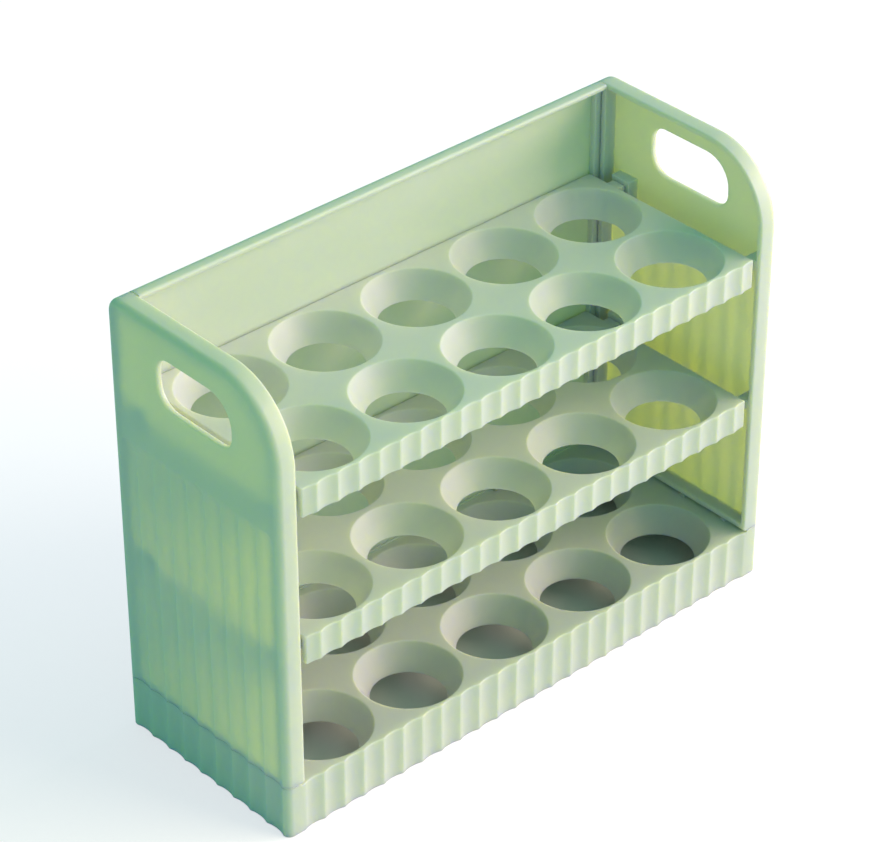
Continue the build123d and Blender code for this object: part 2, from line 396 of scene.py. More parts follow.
class Outline:
    """Fluted outlines and round cups, the shapes that repeat on the mouldings."""

    def __init__(self, sizes: Sizes) -> None:
        """Work out the radius of a flute.

        Args:
            sizes: The shared sizes.
        """
        self.sizes = sizes
        self.half = sizes.flute_pitch / 2
        self.radius = (self.half ** 2 + sizes.flute_depth ** 2) / (2 * sizes.flute_depth)
        self.sink = self.radius - sizes.flute_depth

    def flutes(self, form: Form, last: BMVert, start: Vector, end: Vector, count: int,
               stop: Vector | None = None) -> tuple[BMVert, list[BMVert]]:
        """Scoops along one straight side of an outline that turns counter-clockwise.

        Args:
            form: The form that holds the outline.
            last: The outline's last point, at the start or on the first scoop.
            start: The first ridge.
            end: The last ridge.
            count: Number of scoops.
            stop: Where the last scoop ends, if before the last ridge.

        Returns:
            The outline's end, and the ridges between scoops.
        """
        step = (end - start) / count
        out = Vector((step.y, -step.x, 0)).normalized()
        ridges = []
        for i in range(count):
            centre = start + step * (i + 0.5) + out * self.sink
            ahead = (stop if stop and i == count - 1 else start + step * (i + 1)) - centre
            angle = (last.co - centre).angle(ahead)
            last = form.arc(last, centre, -math.degrees(angle), self.sizes.flute_steps)
            ridges.append(last)
        return last, ridges


@dataclass(frozen=True)
class Cups:
    """Ten funnel cups that hang in a deck."""

    rows: Point = (-25.75, 22.65)
    radius: float = 22.65
    floor_radius: float = 16.0
    depth: float = 12.0
    wall: float = 1.8
    lip: float = 0.95
    foot: float = 0.3

    def places(self, deck: float) -> list[Place]:
        """Where the cups' axes cross a deck."""
        return [(x, y, deck) for x in SIZES.spread(SIZES.cup_columns, SIZES.cup_pitch) for y in self.rows]

    def funnels(self, deck: float) -> Form:
        """The solid cones under a deck that the cups are cut from.

        Args:
            deck: The deck's height.

        Returns:
            The cones.
        """
        slope = (self.radius - self.floor_radius) / self.depth
        top = deck - SIZES.deck_wall / 2
        high = self.radius + self.wall - (deck - top) * slope
        form = Form()
        form.cone((0, 0), (self.floor_radius + self.wall, -self.depth), (high, top - deck), soft=0.4)
        form.repeat(self.places(deck))
        return form

    def hollows(self, deck: float) -> Form:
        """The space in each cup, which flares into a rounded lip above and below.

        Args:
            deck: The deck's height.

        Returns:
            The spaces.
        """
        lean = math.atan2(self.radius - self.floor_radius, self.depth)
        turn = math.pi / 2 - lean
        upper = self.lip / math.tan((math.pi - turn) / 2)
        lower = self.foot / math.tan(turn / 2)
        mouth = self.radius + upper
        floor = self.floor_radius + lower
        form = Form()
        last = form.start((0, 0, AWAY))
        last = form.line(last, (mouth, 0, AWAY), (mouth, 0, 0))
        last = form.arc(last, (mouth, 0, -self.lip), -math.degrees(turn), 6, axis=(0, 1, 0))
        last = form.line(last, (self.floor_radius + lower * math.sin(lean), 0,
                                -self.depth + lower * math.cos(lean)))
        last = form.arc(last, (floor, 0, -self.depth + self.foot), -math.degrees(math.pi - turn), 4,
                        axis=(0, 1, 0))
        form.line(last, (floor, 0, -self.depth - AWAY), (0, 0, -self.depth - AWAY))
        form.turn()
        form.repeat(self.places(deck))
        return form


@dataclass(frozen=True)
class Ribs:
    """Stiffening ribs under a deck, between the columns and the rows of cups."""

    wall: float = 1.6
    depth: float = 5.0
    edge: float = 0.35

    def across(self, deck: float, front: float, rear: float) -> Form:
        """The ribs that run from front to rear.

        Args:
            deck: The deck's height.
            front: The y of their front ends.
            rear: The y of their rear ends.

        Returns:
            The ribs.
        """
        form = Form()
        low = deck - SIZES.deck_wall - self.depth
        for x in SIZES.between_cups():
            form.box((x - self.wall / 2, front, low), (x + self.wall / 2, rear, deck - SIZES.deck_wall / 2),
                     self.edge, lambda at: at.z < low + ROOM)
        return form

    def along(self, deck: float, end: float) -> Form:
        """The rib that runs along the holder between the two rows.

        Args:
            deck: The deck's height.
            end: The x of its right end.

        Returns:
            The rib.
        """
        form = Form()
        low = deck - SIZES.deck_wall - self.depth
        middle, half = sum(Cups().rows) / 2, self.wall / 2
        form.box((-end, middle - half, low), (end, middle + half, deck - SIZES.deck_wall / 2), self.edge,
                 lambda at: at.z < low + ROOM)
        return form


@dataclass
class FlipTray:
    """A flip tray: fluted lip, deck with ten cups, ribs, hinge pins and lug notches."""

    name: str
    body: Body
    deck: float
    lip: float = 13.4
    edge: float = 0.6
    foot_edge: float = 0.3
    inner_edge: float = 0.8
    front_corner: float = 0.7
    rear_corner: float = 1.2
    pin_radius: float = 2.6
    pin_end: float = 131.5
    collar: float = 6.8
    collar_end: float = 126.2
    notch: Point = (-47.25, -41.15)
    cups: Cups = field(default_factory=Cups)
    ribs: Ribs = field(default_factory=Ribs)

    def shell(self) -> Form:
        """The deck with its lip, rounded along its edges and hollow below."""
        s, shape, form = SIZES, Outline(SIZES), Form()
        ridge = s.flute_pitch * s.front_flutes / 2
        offset = ridge - shape.half - s.tray_half
        side = -s.half_depth - shape.sink + math.sqrt(shape.radius ** 2 - offset ** 2)
        first = form.start((-s.tray_half, side, self.deck))
        last, ridges = shape.flutes(form, first, Vector((-ridge, -s.half_depth, self.deck)),
                                    Vector((ridge, -s.half_depth, self.deck)), s.front_flutes,
                                    Vector((s.tray_half, side, self.deck)))
        last = form.line(last, (s.tray_half, s.tray_rear, self.deck), (-s.tray_half, s.tray_rear, self.deck))
        form.close(first, last)
        form.round_points([v for v in ridges[:-1] if v.is_valid], SIZES.ridge, 3)
        for x in (-s.tray_half, s.tray_half):
            form.round_corner((x, side), self.front_corner, 3)
            form.round_corner((x, s.tray_rear), self.rear_corner, 4)
        form.grow((0, 0, -self.lip))
        form.tidy()
        top = self.deck - NEAR
        form.bevel(form.corners(lambda at: at.z > top), self.edge, 4)
        foot = self.deck - self.lip + NEAR
        form.bevel(form.corners(lambda at: at.z < foot), self.foot_edge, 2)
        return form

    def hollow(self) -> Form:
        """The space under the deck, inside the lip."""
        s, form = SIZES, Form()
        side = s.tray_half - s.skirt_wall
        front = -s.half_depth + s.flute_depth + s.skirt_wall
        rear = s.tray_rear - s.skirt_wall
        form.box((-side, front, self.deck - self.lip - AWAY), (side, rear, self.deck - s.deck_wall))
        form.bevel(form.corners(lambda at: True), self.inner_edge, 3)
        return form

    def pins(self) -> Form:
        """A square collar with a round pin at each end, on the hinge line."""
        s, form = SIZES, Form()
        z = self.deck - s.pivot_drop
        half = self.collar / 2
        form.cone((0, 0), (self.pin_radius, -self.pin_end), (self.pin_radius, -s.tray_half), 48, 0.5)
        form.place(Matrix.Translation((0, s.pivot_y, z)) @ Matrix.Rotation(-math.pi / 2, 4, "Y"))
        form.tidy()
        block = Form()
        block.box((s.tray_half - s.skirt_wall / 2, s.pivot_y - half, z - half),
                  (self.collar_end, s.pivot_y + half, z + half), 0.4,
                  lambda at: at.x > self.collar_end - ROOM)
        form.fit(block, Joint.ADD)
        form.fit(form.mirrored(), Joint.ADD)
        return form

    def notches(self) -> Form:
        """The gaps in the ends of the lip that let the tray lift off its lugs."""
        s, form = SIZES, Form()
        for side in (-1, 1):
            ends = sorted((side * (s.tray_half - s.skirt_wall - AWAY / 3), side * (s.tray_half + AWAY)))
            form.box((ends[0], self.notch[0], self.deck - self.lip - AWAY),
                     (ends[1], self.notch[1], self.deck - s.deck_wall))
        return form

    def build(self) -> Form:
        """The whole tray as one closed form."""
        s = SIZES
        form = self.shell()
        form.fit(self.hollow(), Joint.CUT)
        form.fit(self.cups.funnels(self.deck), Joint.ADD)
        front = -s.half_depth + s.flute_depth + s.skirt_wall / 2
        form.fit(self.ribs.across(self.deck, front, s.tray_rear - s.skirt_wall / 2), Joint.ADD)
        form.fit(self.ribs.along(self.deck, s.tray_half - s.skirt_wall / 2), Joint.ADD)
        form.fit(self.pins(), Joint.ADD)
        form.fit(self.notches(), Joint.CUT)
        form.fit(self.cups.hollows(self.deck), Joint.CUT)
        return form


@dataclass
class BaseTray:
    """The bottom moulding: skirt, deck with ten cups, seat strips, pads and hook slots."""

    name: str = "base_tray"
    body: Body = Body.STAND
    edge: float = 0.6
    foot_edge: float = 0.4
    top_edge: float = 0.3
    inner_edge: float = 1.0
    strip_x: float = 127.6
    pad_width: float = 2.6
    pad_pitch: float = 25.0
    pads_a_side: int = 4
    side_hook_x: float = 128.6
    back_hook_y: float = 45.95
    play: float = 0.3
    barb: float = 0.8
    cups: Cups = field(default_factory=Cups)
    ribs: Ribs = field(default_factory=Ribs)

    def shell(self) -> Form:
        """The fluted body with its seat strips, solid below."""
        s, shape, form = SIZES, Outline(SIZES), Form()
        w, d, top = s.half_width, s.half_depth, s.seat_top
        ridge_x = s.flute_pitch * s.front_flutes / 2
        ridge_y = s.flute_pitch * s.side_flutes / 2
        round_x, round_y = w - s.corner, d - s.corner
        ridges: list[BMVert] = []
        first = last = form.start((-round_x, -d, top))
        last = form.line(last, (-ridge_x, -d, top))
        last, found = shape.flutes(form, last, Vector((-ridge_x, -d, top)), Vector((ridge_x, -d, top)),
                                   s.front_flutes)
        ridges += found
        last = form.line(last, (round_x, -d, top))
        last = form.arc(last, (round_x, -round_y, top), 90, 6)
        last = form.line(last, (w, -ridge_y, top))
        last, found = shape.flutes(form, last, Vector((w, -ridge_y, top)), Vector((w, ridge_y, top)),
                                   s.side_flutes)
        ridges += found[:-1]
        last = form.line(last, (w, round_y, top))
        last = form.arc(last, (round_x, round_y, top), 90, 6)
        last = form.line(last, (-round_x, d, top))
        last = form.arc(last, (-round_x, round_y, top), 90, 6)
        last = form.line(last, (-w, ridge_y, top))
        last, found = shape.flutes(form, last, Vector((-w, ridge_y, top)), Vector((-w, -ridge_y, top)),
                                   s.side_flutes)
        ridges += found[:-1]
        last = form.line(last, (-w, -round_y, top))
        last = form.arc(last, (-round_x, -round_y, top), 90, 6)
        form.close(first, last)
        form.round_points([v for v in ridges if v.is_valid], SIZES.ridge, 3)
        form.grow((0, 0, -top))
        form.tidy()
        form.bevel(form.corners(lambda at: at.z < NEAR), self.foot_edge, 2)
        form.bevel(form.corners(lambda at: at.z > top - NEAR), self.top_edge, 2)
        cut = Form()
        cut.box((-self.strip_x, -d - AWAY, s.base_deck), (self.strip_x, s.back_inner, top + AWAY))
        form.fit(cut, Joint.CUT)
        lip = form.corners(lambda at: abs(at.z - s.base_deck) < NEAR and at.y < -d + 1.2)
        form.bevel(lip, self.edge, 4)
        return form

    def hollow(self) -> Form:
        """The space under the deck, inside the skirt."""
        s, form = SIZES, Form()
        side = s.half_width - s.flute_depth - s.skirt_wall
        form.box((-side, -s.half_depth + s.flute_depth + s.skirt_wall, -AWAY),
                 (side, s.half_depth - s.skirt_wall, s.base_deck - s.deck_wall))
        form.bevel(form.corners(lambda at: True), self.inner_edge, 3)
        return form

    def pads(self) -> Form:
        """The low spacer pads beside the seat strips."""
        s, form = SIZES, Form()
        for side in (-1, 1):
            ends = sorted((side * (s.rim_plane + self.play), side * (self.strip_x + 0.4)))
            for y in s.spread(self.pads_a_side, self.pad_pitch):
                form.box((ends[0], y - self.pad_width / 2, s.base_deck - 0.5),
                         (ends[1], y + self.pad_width / 2, s.seat_top - SINK), self.top_edge,
                         lambda at: at.z > s.seat_top - ROOM)
        return form

    def slots(self) -> Form:
        """The slots in the deck that take the panels' hooks."""
        s, form = SIZES, Form()
        reach = s.hook_width / 2 + self.play
        low = s.base_deck - s.deck_wall
        for side in (-1, 1):
            ends = sorted((side * (self.side_hook_x - self.play),
                           side * (self.side_hook_x + s.hook_wall + self.play)))
            for y in s.side_hook_places():
                form.box((ends[0], y - reach, low - AWAY / 3), (ends[1], y + reach, s.seat_top + AWAY))
        for x in s.between_cups():
            form.box((x - reach, self.back_hook_y - self.play, low - AWAY),
                     (x + reach, self.back_hook_y + s.hook_wall + self.play, s.seat_top + AWAY))
        return form

    def barb_room(self) -> Form:
        """The gaps in the ribs behind the rear slots, where the hooks catch."""
        s, form = SIZES, Form()
        reach = s.hook_width / 2 + self.play
        low = s.base_deck - s.deck_wall
        for x in s.between_cups():
            form.box((x - reach, self.back_hook_y - self.barb - self.play, low - self.ribs.depth - AWAY / 3),
                     (x + reach, self.back_hook_y + s.hook_wall + self.play - ROOM, low))
        return form

    def build(self) -> Form:
        """The whole base as one closed form."""
        s = SIZES
        form = self.shell()
        form.fit(self.hollow(), Joint.CUT)
        form.fit(self.pads(), Joint.ADD)
        form.fit(self.cups.funnels(s.base_deck), Joint.ADD)
        front = -s.half_depth + s.flute_depth + s.skirt_wall / 2
        form.fit(self.ribs.across(s.base_deck, front, s.back_inner + s.skirt_wall / 2), Joint.ADD)
        side = s.half_width - s.flute_depth - s.skirt_wall / 2
        form.fit(self.ribs.along(s.base_deck, side), Joint.ADD)
        form.fit(self.slots(), Joint.CUT)
        form.fit(self.barb_room(), Joint.CUT)
        form.fit(self.cups.hollows(s.base_deck), Joint.CUT)
        return form


SIDEWAYS = Matrix(((0, 0, 1, 0), (1, 0, 0, 0), (0, 1, 0, 0), (0, 0, 0, 1)))


@dataclass(frozen=True)
class Hook:
    """A snap hook that hangs below a panel, drawn from the side."""

    barb: float = 0.8
    barb_height: float = 3.2
    catch: float = 21.3

    def profile(self) -> Form:
        """The hook's side view as a solid, its flat back at zero and its barb towards -X."""
        s, form = SIZES, Form()
        root = s.panel_base + s.rim_wall / 2
        tip = s.panel_base - s.hook_length
        half = s.hook_width / 2
        first = form.start((0, -half, root))
        last = form.line(first, (s.hook_wall, -half, root), (s.hook_wall, -half, tip),
                         (s.hook_wall / 3, -half, tip),
                         (-self.barb, -half, self.catch - self.barb_height / 2),
                         (-self.barb, -half, self.catch), (0, -half, self.catch))
        form.close(first, last)
        form.grow((0, s.hook_width, 0))
        form.tidy()
        form.bevel(form.corners(lambda at: at.z < root - ROOM), 0.2, 2)
        return form


@dataclass
class SidePanel:
    """A side panel: thin fluted wall in a deep rim, hand slot, bearings, lugs, channel and hooks."""

    name: str
    body: Body = Body.STAND
    mirrored: bool = False
    front_sweep: float = 33.0
    rear_sweep: float = 6.5
    rim_edge: float = 0.8
    flute_top: float = 148.0
    slot_low: Point = (-24.2, 174.0)
    slot_high: Point = (20.2, 196.5)
    slot_radii: tuple[float, float, float, float] = (13.0, 7.0, 7.0, 10.0)
    slot_ring: float = 1.4
    slot_edge: float = 0.9
    bearing: float = 10.4
    bearing_face: float = 126.6
    bore_radius: float = 2.68
    bore_end: float = 131.8
    lug: Place = (4.0, 4.0, 4.5)
    lug_tip: float = 119.0
    wedge: Place = (2.6, 1.6, 10.0)
    wedge_inset: float = 2.3
    wedge_root: float = 0.8
    root: float = 0.6
    hook_inset: float = 4.6
    hook: Hook = field(default_factory=Hook)

    def outline(self, form: Form, inset: float, level: float) -> None:
        """The side view, with y and z as its two directions.

        Args:
            form: The empty form that takes it.
            inset: How far it is drawn in.
            level: Where it lies.
        """
        s = SIZES
        d, low, high = s.half_depth - inset, s.panel_base + inset, s.height - inset
        form.plate((-d, low), (d, high), level)
        form.round_corner((-d, high), self.front_sweep - inset, 24)
        form.round_corner((d, high), self.rear_sweep - inset, 8)

    def tray_shape(self) -> Form:
        """The rim and the recess, closed but for the outer face, the foot and the recess floor."""
        s, form = SIZES, Form()
        self.outline(form, 0.0, s.rim_plane)
        form.grow((0, 0, s.half_width - s.rim_plane))
        form.tidy()
        foot = s.panel_base + NEAR
        outer = form.corners(lambda at: at.z > s.half_width - NEAR)
        form.bevel([e for e in outer if not all(v.co.y < foot for v in e.verts)], s.corner, 7)
        form.bm.faces.ensure_lookup_table()
        inner = [f for f in form.bm.faces if f.normal.z < -0.99]
        bmesh.ops.inset_region(form.bm, faces=inner, thickness=s.rim_wall, use_even_offset=True)
        inner = [f for f in form.bm.faces if f.normal.z < -0.99 and len(f.verts) > 20]
        form.grow((0, 0, s.panel_inner - s.rim_plane), inner)
        form.tidy()
        return form

    def rim_faces(self, form: Form) -> None:
        """Round the rim and the recess, and open the faces that get more shape.

        Args:
            form: The panel so far.
        """
        s = SIZES
        low, side = s.panel_base + s.rim_wall, s.half_depth - s.rim_wall
        form.bevel([e for e in form.corners(lambda at: at.y < low + NEAR and abs(at.x) > side - NEAR)
                    if abs(e.verts[0].co.z - e.verts[1].co.z) > 4 and e.verts[0].co.y > low - ROOM], 1.3, 4)
        form.bevel(form.corners(lambda at: at.z < s.rim_plane + NEAR and at.y > s.panel_base - NEAR),
                   self.rim_edge, 4)
        form.bevel(form.corners(lambda at: abs(at.z - s.panel_inner) < NEAR), self.root, 3)
        gone = [f for f in form.bm.faces if len(f.verts) > 20 and
                (f.normal.y < -0.99 or f.calc_center_median().z > s.half_width - NEAR
                 or abs(f.calc_center_median().z - s.panel_inner) < NEAR)]
        gone += [f for f in form.bm.faces
                 if f.normal.y < -0.99 and f.calc_center_median().y < s.panel_base + NEAR]
        bmesh.ops.delete(form.bm, geom=list(dict.fromkeys(gone)), context="FACES_ONLY")
        loose = [e for e in form.bm.edges if e.is_wire]
        bmesh.ops.delete(form.bm, geom=loose, context="EDGES")

    def scoops(self, form: Form) -> None:
        """Upright scoops with round upper ends, in line with those of the base.

        Args:
            form: The panel so far.
        """
        s, shape = SIZES, Outline(SIZES)
        end = self.flute_top - shape.half
        level = s.half_width
        sink = math.asin(shape.half / shape.radius)
        for middle in s.spread(s.side_flutes, s.flute_pitch):
            first = form.start((middle - shape.half, end, level))
            before = set(form.bm.edges)
            centre = (middle, end, level + shape.sink)
            left = form.arc(first, centre, -math.degrees(sink), s.flute_steps // 2, axis=(0, 1, 0))
            half = [e for e in form.bm.edges if e not in before]
            form.arc(left, centre, -math.degrees(sink), s.flute_steps // 2, axis=(0, 1, 0))
            across = [e for e in form.bm.edges if e not in before]
            ends = dict.fromkeys(v for e in half for v in e.verts)
            bmesh.ops.spin(form.bm, geom=[*half, *ends], cent=(middle, end, level), axis=(0, 0, 1),
                           dvec=(0, 0, 0), angle=-math.pi, steps=12)
            made = bmesh.ops.extrude_edge_only(form.bm, edges=across)["geom"]
            bmesh.ops.translate(form.bm, verts=[g for g in made if isinstance(g, BMVert)],
                                vec=(0, s.panel_base - end, 0))
        form.weld()

    def slot_edges(self, form: Form) -> None:
        """The hand slot: a flat ring on each side of the wall, joined through it.

        Args:
            form: The panel so far.
        """
        s, loops = SIZES, []
        grow = Vector((self.slot_ring, self.slot_ring))
        low, high = Vector(self.slot_low) - grow, Vector(self.slot_high) + grow
        places = [(low.x, high.y), (low.x, low.y), (high.x, high.y), (high.x, low.y)]
        for level in (s.half_width, s.panel_inner):
            face = form.plate(tuple(low), tuple(high), level)
            corners = face.verts[:]
            for near, radius in zip(places, self.slot_radii):
                left = [v for v in corners if v.is_valid]
                corner = min(left, key=lambda v, at=Vector(near): (v.co.xy - at).length)
                face = form.round_points([corner], radius + self.slot_ring, 8)
            bmesh.ops.inset_region(form.bm, faces=[face], thickness=self.slot_ring, use_even_offset=True,
                                   use_boundary=True)
            loops += face.edges[:]
            bmesh.ops.delete(form.bm, geom=[face], context="FACES_ONLY")
        bmesh.ops.bridge_loops(form.bm, edges=loops)
        bmesh.ops.recalc_face_normals(form.bm, faces=form.bm.faces)
        form.bevel(loops, self.slot_edge, 4)

    def shell(self) -> Form:
        """The panel's wall and rim as one closed form, in y, z and x as its three directions."""
        s = SIZES
        form = self.tray_shape()
        self.rim_faces(form)
        self.scoops(form)
        self.slot_edges(form)
        level = s.half_width
        ends = [v for v in form.bm.verts if abs(v.co.z - level) < NEAR and v.co.y < s.panel_base + NEAR
                and v.is_boundary]
        for side in (-1, 1):
            pair = sorted((v for v in ends if v.co.x * side > 0), key=lambda v: -abs(v.co.x))[:2]
            bmesh.ops.contextual_create(form.bm, geom=pair)
        foot = [e for e in form.bm.edges if all(v.co.y < s.panel_base + NEAR for v in e.verts)
                and len(e.link_faces) < 2]
        bmesh.ops.contextual_create(form.bm, geom=foot)
        for height in (level, s.panel_inner):
            flat = form.open_edges(lambda at, h=height: abs(at.z - h) < NEAR)
            bmesh.ops.triangle_fill(form.bm, use_beauty=True, edges=flat, normal=(0, 0, 1))
        form.tidy()
        ridges = form.corners(lambda at: abs(at.z - level) < NEAR and at.y < self.flute_top, 10.0)
        form.bevel([e for e in ridges if e.calc_length() > self.flute_top / 2], 2 * s.ridge, 4)
        form.tidy()
        return form

    def fittings(self) -> list[Form]:
        """Channel rib, bearing blocks, rest lugs and wedges on the inside of the panel."""
        s = SIZES
        deep = s.panel_inner + self.root
        rib, blocks, lugs, gussets = Form(), Form(), Form(), Form()
        rear = s.half_depth - s.rim_wall
        rib_rear = rear - s.back_wall - self.root
        rib.box((s.rim_plane + 0.3, rib_rear - s.rim_wall, s.panel_base + s.rim_wall / 2),
                (deep, rib_rear, s.height - s.rim_wall / 2), 0.4, lambda at: at.x < s.rim_plane + 0.4)
        front = -s.half_depth + self.lug[0]
        for deck in (s.middle_deck, s.top_deck):
            z, half = deck - s.pivot_drop, self.bearing / 2
            blocks.box((self.bearing_face, s.pivot_y - half, z - half), (deep, s.pivot_y + half, z + half),
                       0.5, lambda at: at.x < self.bearing_face + ROOM)
            top = deck - s.deck_wall - 0.15
            lugs.box((self.lug_tip, front, top - self.lug[2]), (deep, front + self.lug[1], top), 0.4,
                     lambda at: at.x < self.lug_tip + ROOM)
            gussets.box((s.rim_plane + 0.05, -s.half_depth + s.rim_wall / 2, top - self.lug[2] + SINK),
                        (deep - ROOM, front + 0.4, top - SINK))
        wedges = Form()
        for z in s.wedge_levels():
            x, low = s.rim_plane + self.wedge_inset, z - self.wedge[2] / 2
            first = wedges.start((x, rear, low))
            root = rear + self.wedge_root
            last = wedges.line(first, (x, root, low), (x + self.wedge[0], root, low),
                               (x + self.wedge[0], rear - self.wedge[1], low))
            wedges.grow((0, 0, self.wedge[2]), [wedges.close(first, last)])
        return [rib, blocks, lugs, gussets, wedges]

    def build(self) -> Form:
        """The whole panel as one closed form."""
        s = SIZES
        form = self.shell()
        form.place(SIDEWAYS)
        for part in self.fittings():
            form.fit(part, Joint.ADD)
        turn = Matrix.Rotation(math.pi / 2, 4, "Y")
        start = self.bearing_face - AWAY
        for deck in (s.middle_deck, s.top_deck):
            bore = Form()
            bore.cone((0, 0), (self.bore_radius, start), (self.bore_radius, self.bore_end), 48)
            bore.place(Matrix.Translation((0, s.pivot_y, deck - s.pivot_drop)) @ turn)
            form.fit(bore, Joint.CUT)
        hooks = self.hook.profile()
        hooks.repeat([(s.half_width - self.hook_inset - s.hook_wall, y, 0) for y in s.side_hook_places()])
        form.fit(hooks, Joint.ADD)
        return form.mirrored() if self.mirrored else form


@dataclass
class BackPanel:
    """The back panel: wall with a rolled top rim, end tongues with windows, and four hooks."""

    name: str = "back_panel"
    body: Body = Body.STAND
    rim_width: float = 9.4
    rear_sweep: float = 6.5
    wall_end: float = 125.3
    lip: float = 1.1
    tongue: Point = (45.45, 47.85)
    tongue_end: float = 131.9
    tongue_play: float = 0.3
    window: Place = (2.0, 5.2, 5.3)
    overlap: float = 0.5
    edge: float = 0.3
    hook_y: float = 45.95
    hook: Hook = field(default_factory=Hook)

    def wall(self) -> Form:
        """The wall and its rolled rim, from one end to the other."""
        s, form = SIZES, Form()
        low, high, under = s.panel_base, s.height, s.height - s.rim_wall
        front = s.half_depth - self.rim_width
        first = form.start((s.back_inner, low, -self.wall_end))
        places = [(s.half_depth, low), (s.half_depth, high), (front, high), (front, under),
                  (s.back_inner, under)]
        last = form.line(first, *[(*at, -self.wall_end) for at in places])
        form.close(first, last)
        form.round_corner((s.half_depth, high), self.rear_sweep, 10)
        form.round_corner((s.back_inner, under), self.rear_sweep - s.rim_wall, 8)
        form.round_corner((front, high), self.lip, 5)
        form.round_corner((front, under), self.lip, 5)
        form.round_corner((s.half_depth, low), self.edge, 2)
        form.round_corner((s.back_inner, low), self.edge, 2)
        form.grow((0, 0, 2 * self.wall_end))
        form.tidy()
        form.bevel(form.corners(lambda at: abs(at.z) > self.wall_end - NEAR), self.edge, 2)
        form.place(SIDEWAYS)
        return form

    def tongue_form(self) -> Form:
        """One end tongue, which slides into the channel of the right panel."""
        s, form = SIZES, Form()
        inset = s.rim_wall + self.tongue_play
        root = self.wall_end - s.back_wall
        d, low, high = s.half_depth - inset, s.panel_base + inset, s.height - inset
        form.plate((-d, low), (d, high), root)
        form.round_corner((d, high), self.rear_sweep - inset, 8)
        form.round_corner((d, low), 1.3, 4)
        form.grow((0, 0, self.tongue_end - root))
        form.place(SIDEWAYS)
        keep = Form()
        keep.box((root - AWAY, self.tongue[0], s.panel_base),
                 (self.tongue_end + AWAY, self.tongue[1], s.height))
        form.fit(keep, Joint.KEEP)
        neck = Form()
        neck.box((root, self.tongue[1] - self.overlap, s.panel_base + s.rim_wall),
                 (self.wall_end - SINK, s.back_inner + self.overlap, s.height - self.rear_sweep))
        form.fit(neck, Joint.ADD)
        windows, (near, far, half) = Form(), self.window
        for z in s.wedge_levels():
            windows.box((s.rim_plane + near, self.tongue[0] - AWAY, z - half),
                        (s.rim_plane + far, self.tongue[1] + AWAY, z + half))
        form.fit(windows, Joint.CUT)
        return form

    def build(self) -> Form:
        """The whole back panel as one closed form."""
        s = SIZES
        form = self.wall()
        right = self.tongue_form()
        left = right.mirrored()
        form.fit(right, Joint.ADD)
        form.fit(left, Joint.ADD)
        feet = Form()
        for x in s.between_cups():
            feet.box((x - s.hook_width / 2, self.hook_y, s.panel_base + NEAR),
                     (x + s.hook_width / 2, s.back_inner + self.overlap, s.panel_base + s.rim_wall),
                     self.edge,
                     lambda at: at.y < self.hook_y + ROOM and at.z > s.panel_base + ROOM)
        form.fit(feet, Joint.ADD)
        hooks = self.hook.profile()
        hooks.place(Matrix.Rotation(math.pi / 2, 4, "Z"))
        hooks.repeat([(x, self.hook_y, 0) for x in s.between_cups()])
        form.fit(hooks, Joint.ADD)
        return form


@dataclass(frozen=True)
class Graph:
    """A node tree under construction, with short ways to add and join its nodes."""

    tree: bpy.types.NodeTree

    def socket(self, name: str, kind: str, way: str, value: object = None) -> None:
        """A socket of a node group.

        Args:
            name: The socket's name.
            kind: What it carries, such as Float or Color.
            way: INPUT or OUTPUT.
            value: Its default value, if it has one.
        """
        made = self.tree.interface.new_socket(name, in_out=way, socket_type=f"NodeSocket{kind}")
        if value is not None:
            made.default_value = value

    def add(self, kind: str, **values: object) -> bpy.types.Node:
        """A new shader node.

        Args:
            kind: Its type, without the leading ShaderNode.
            values: Inputs to set, by their names with _ for a space.

        Returns:
            The node.
        """
        node = self.tree.nodes.new(f"ShaderNode{kind}")
        for name, value in values.items():
            node.inputs[name.replace("_", " ")].default_value = value
        return node

    def ends(self) -> tuple[bpy.types.Node, bpy.types.Node]:
        """The nodes that hold a group's inputs and its outputs."""
        return self.tree.nodes.new("NodeGroupInput"), self.tree.nodes.new("NodeGroupOutput")

    def join(self, source: bpy.types.Node, output: Key, *targets: tuple[bpy.types.Node, Key]) -> None:
        """Join one output to some inputs."""
        for node, key in targets:
            self.tree.links.new(source.outputs[output], node.inputs[key])


@dataclass(frozen=True)
class Grain:
    """Fine moulded grain: a node group that gives a height and a roughness."""

    fine: float = 900.0
    broad: float = 90.0
    detail: float = 5.0
    range: Point = (0.3, 0.7)
    least: float = 0.34
    most: float = 0.5

    def group(self) -> bpy.types.ShaderNodeTree:
        """Build the group once."""
        graph = Graph(bpy.data.node_groups.new("moulded grain", "ShaderNodeTree"))
        graph.socket("Fine", "Float", "INPUT", self.fine)
        graph.socket("Broad", "Float", "INPUT", self.broad)
        graph.socket("Height", "Float", "OUTPUT")
        graph.socket("Roughness", "Float", "OUTPUT")
        ins, outs = graph.ends()
        where = graph.add("TexCoord")
        fine, broad = graph.add("TexNoise"), graph.add("TexNoise", Detail=self.detail)
        graph.join(where, "Object", (fine, "Vector"), (broad, "Vector"))
        graph.join(ins, "Fine", (fine, "Scale"))
        graph.join(ins, "Broad", (broad, "Scale"))
        graph.join(fine, "Fac", (outs, "Height"))
        span = graph.add("MapRange", From_Min=self.range[0], From_Max=self.range[1],
                         To_Min=self.least, To_Max=self.most)
        graph.join(broad, "Fac", (span, "Value"))
        graph.join(span, "Result", (outs, "Roughness"))
        return graph.tree


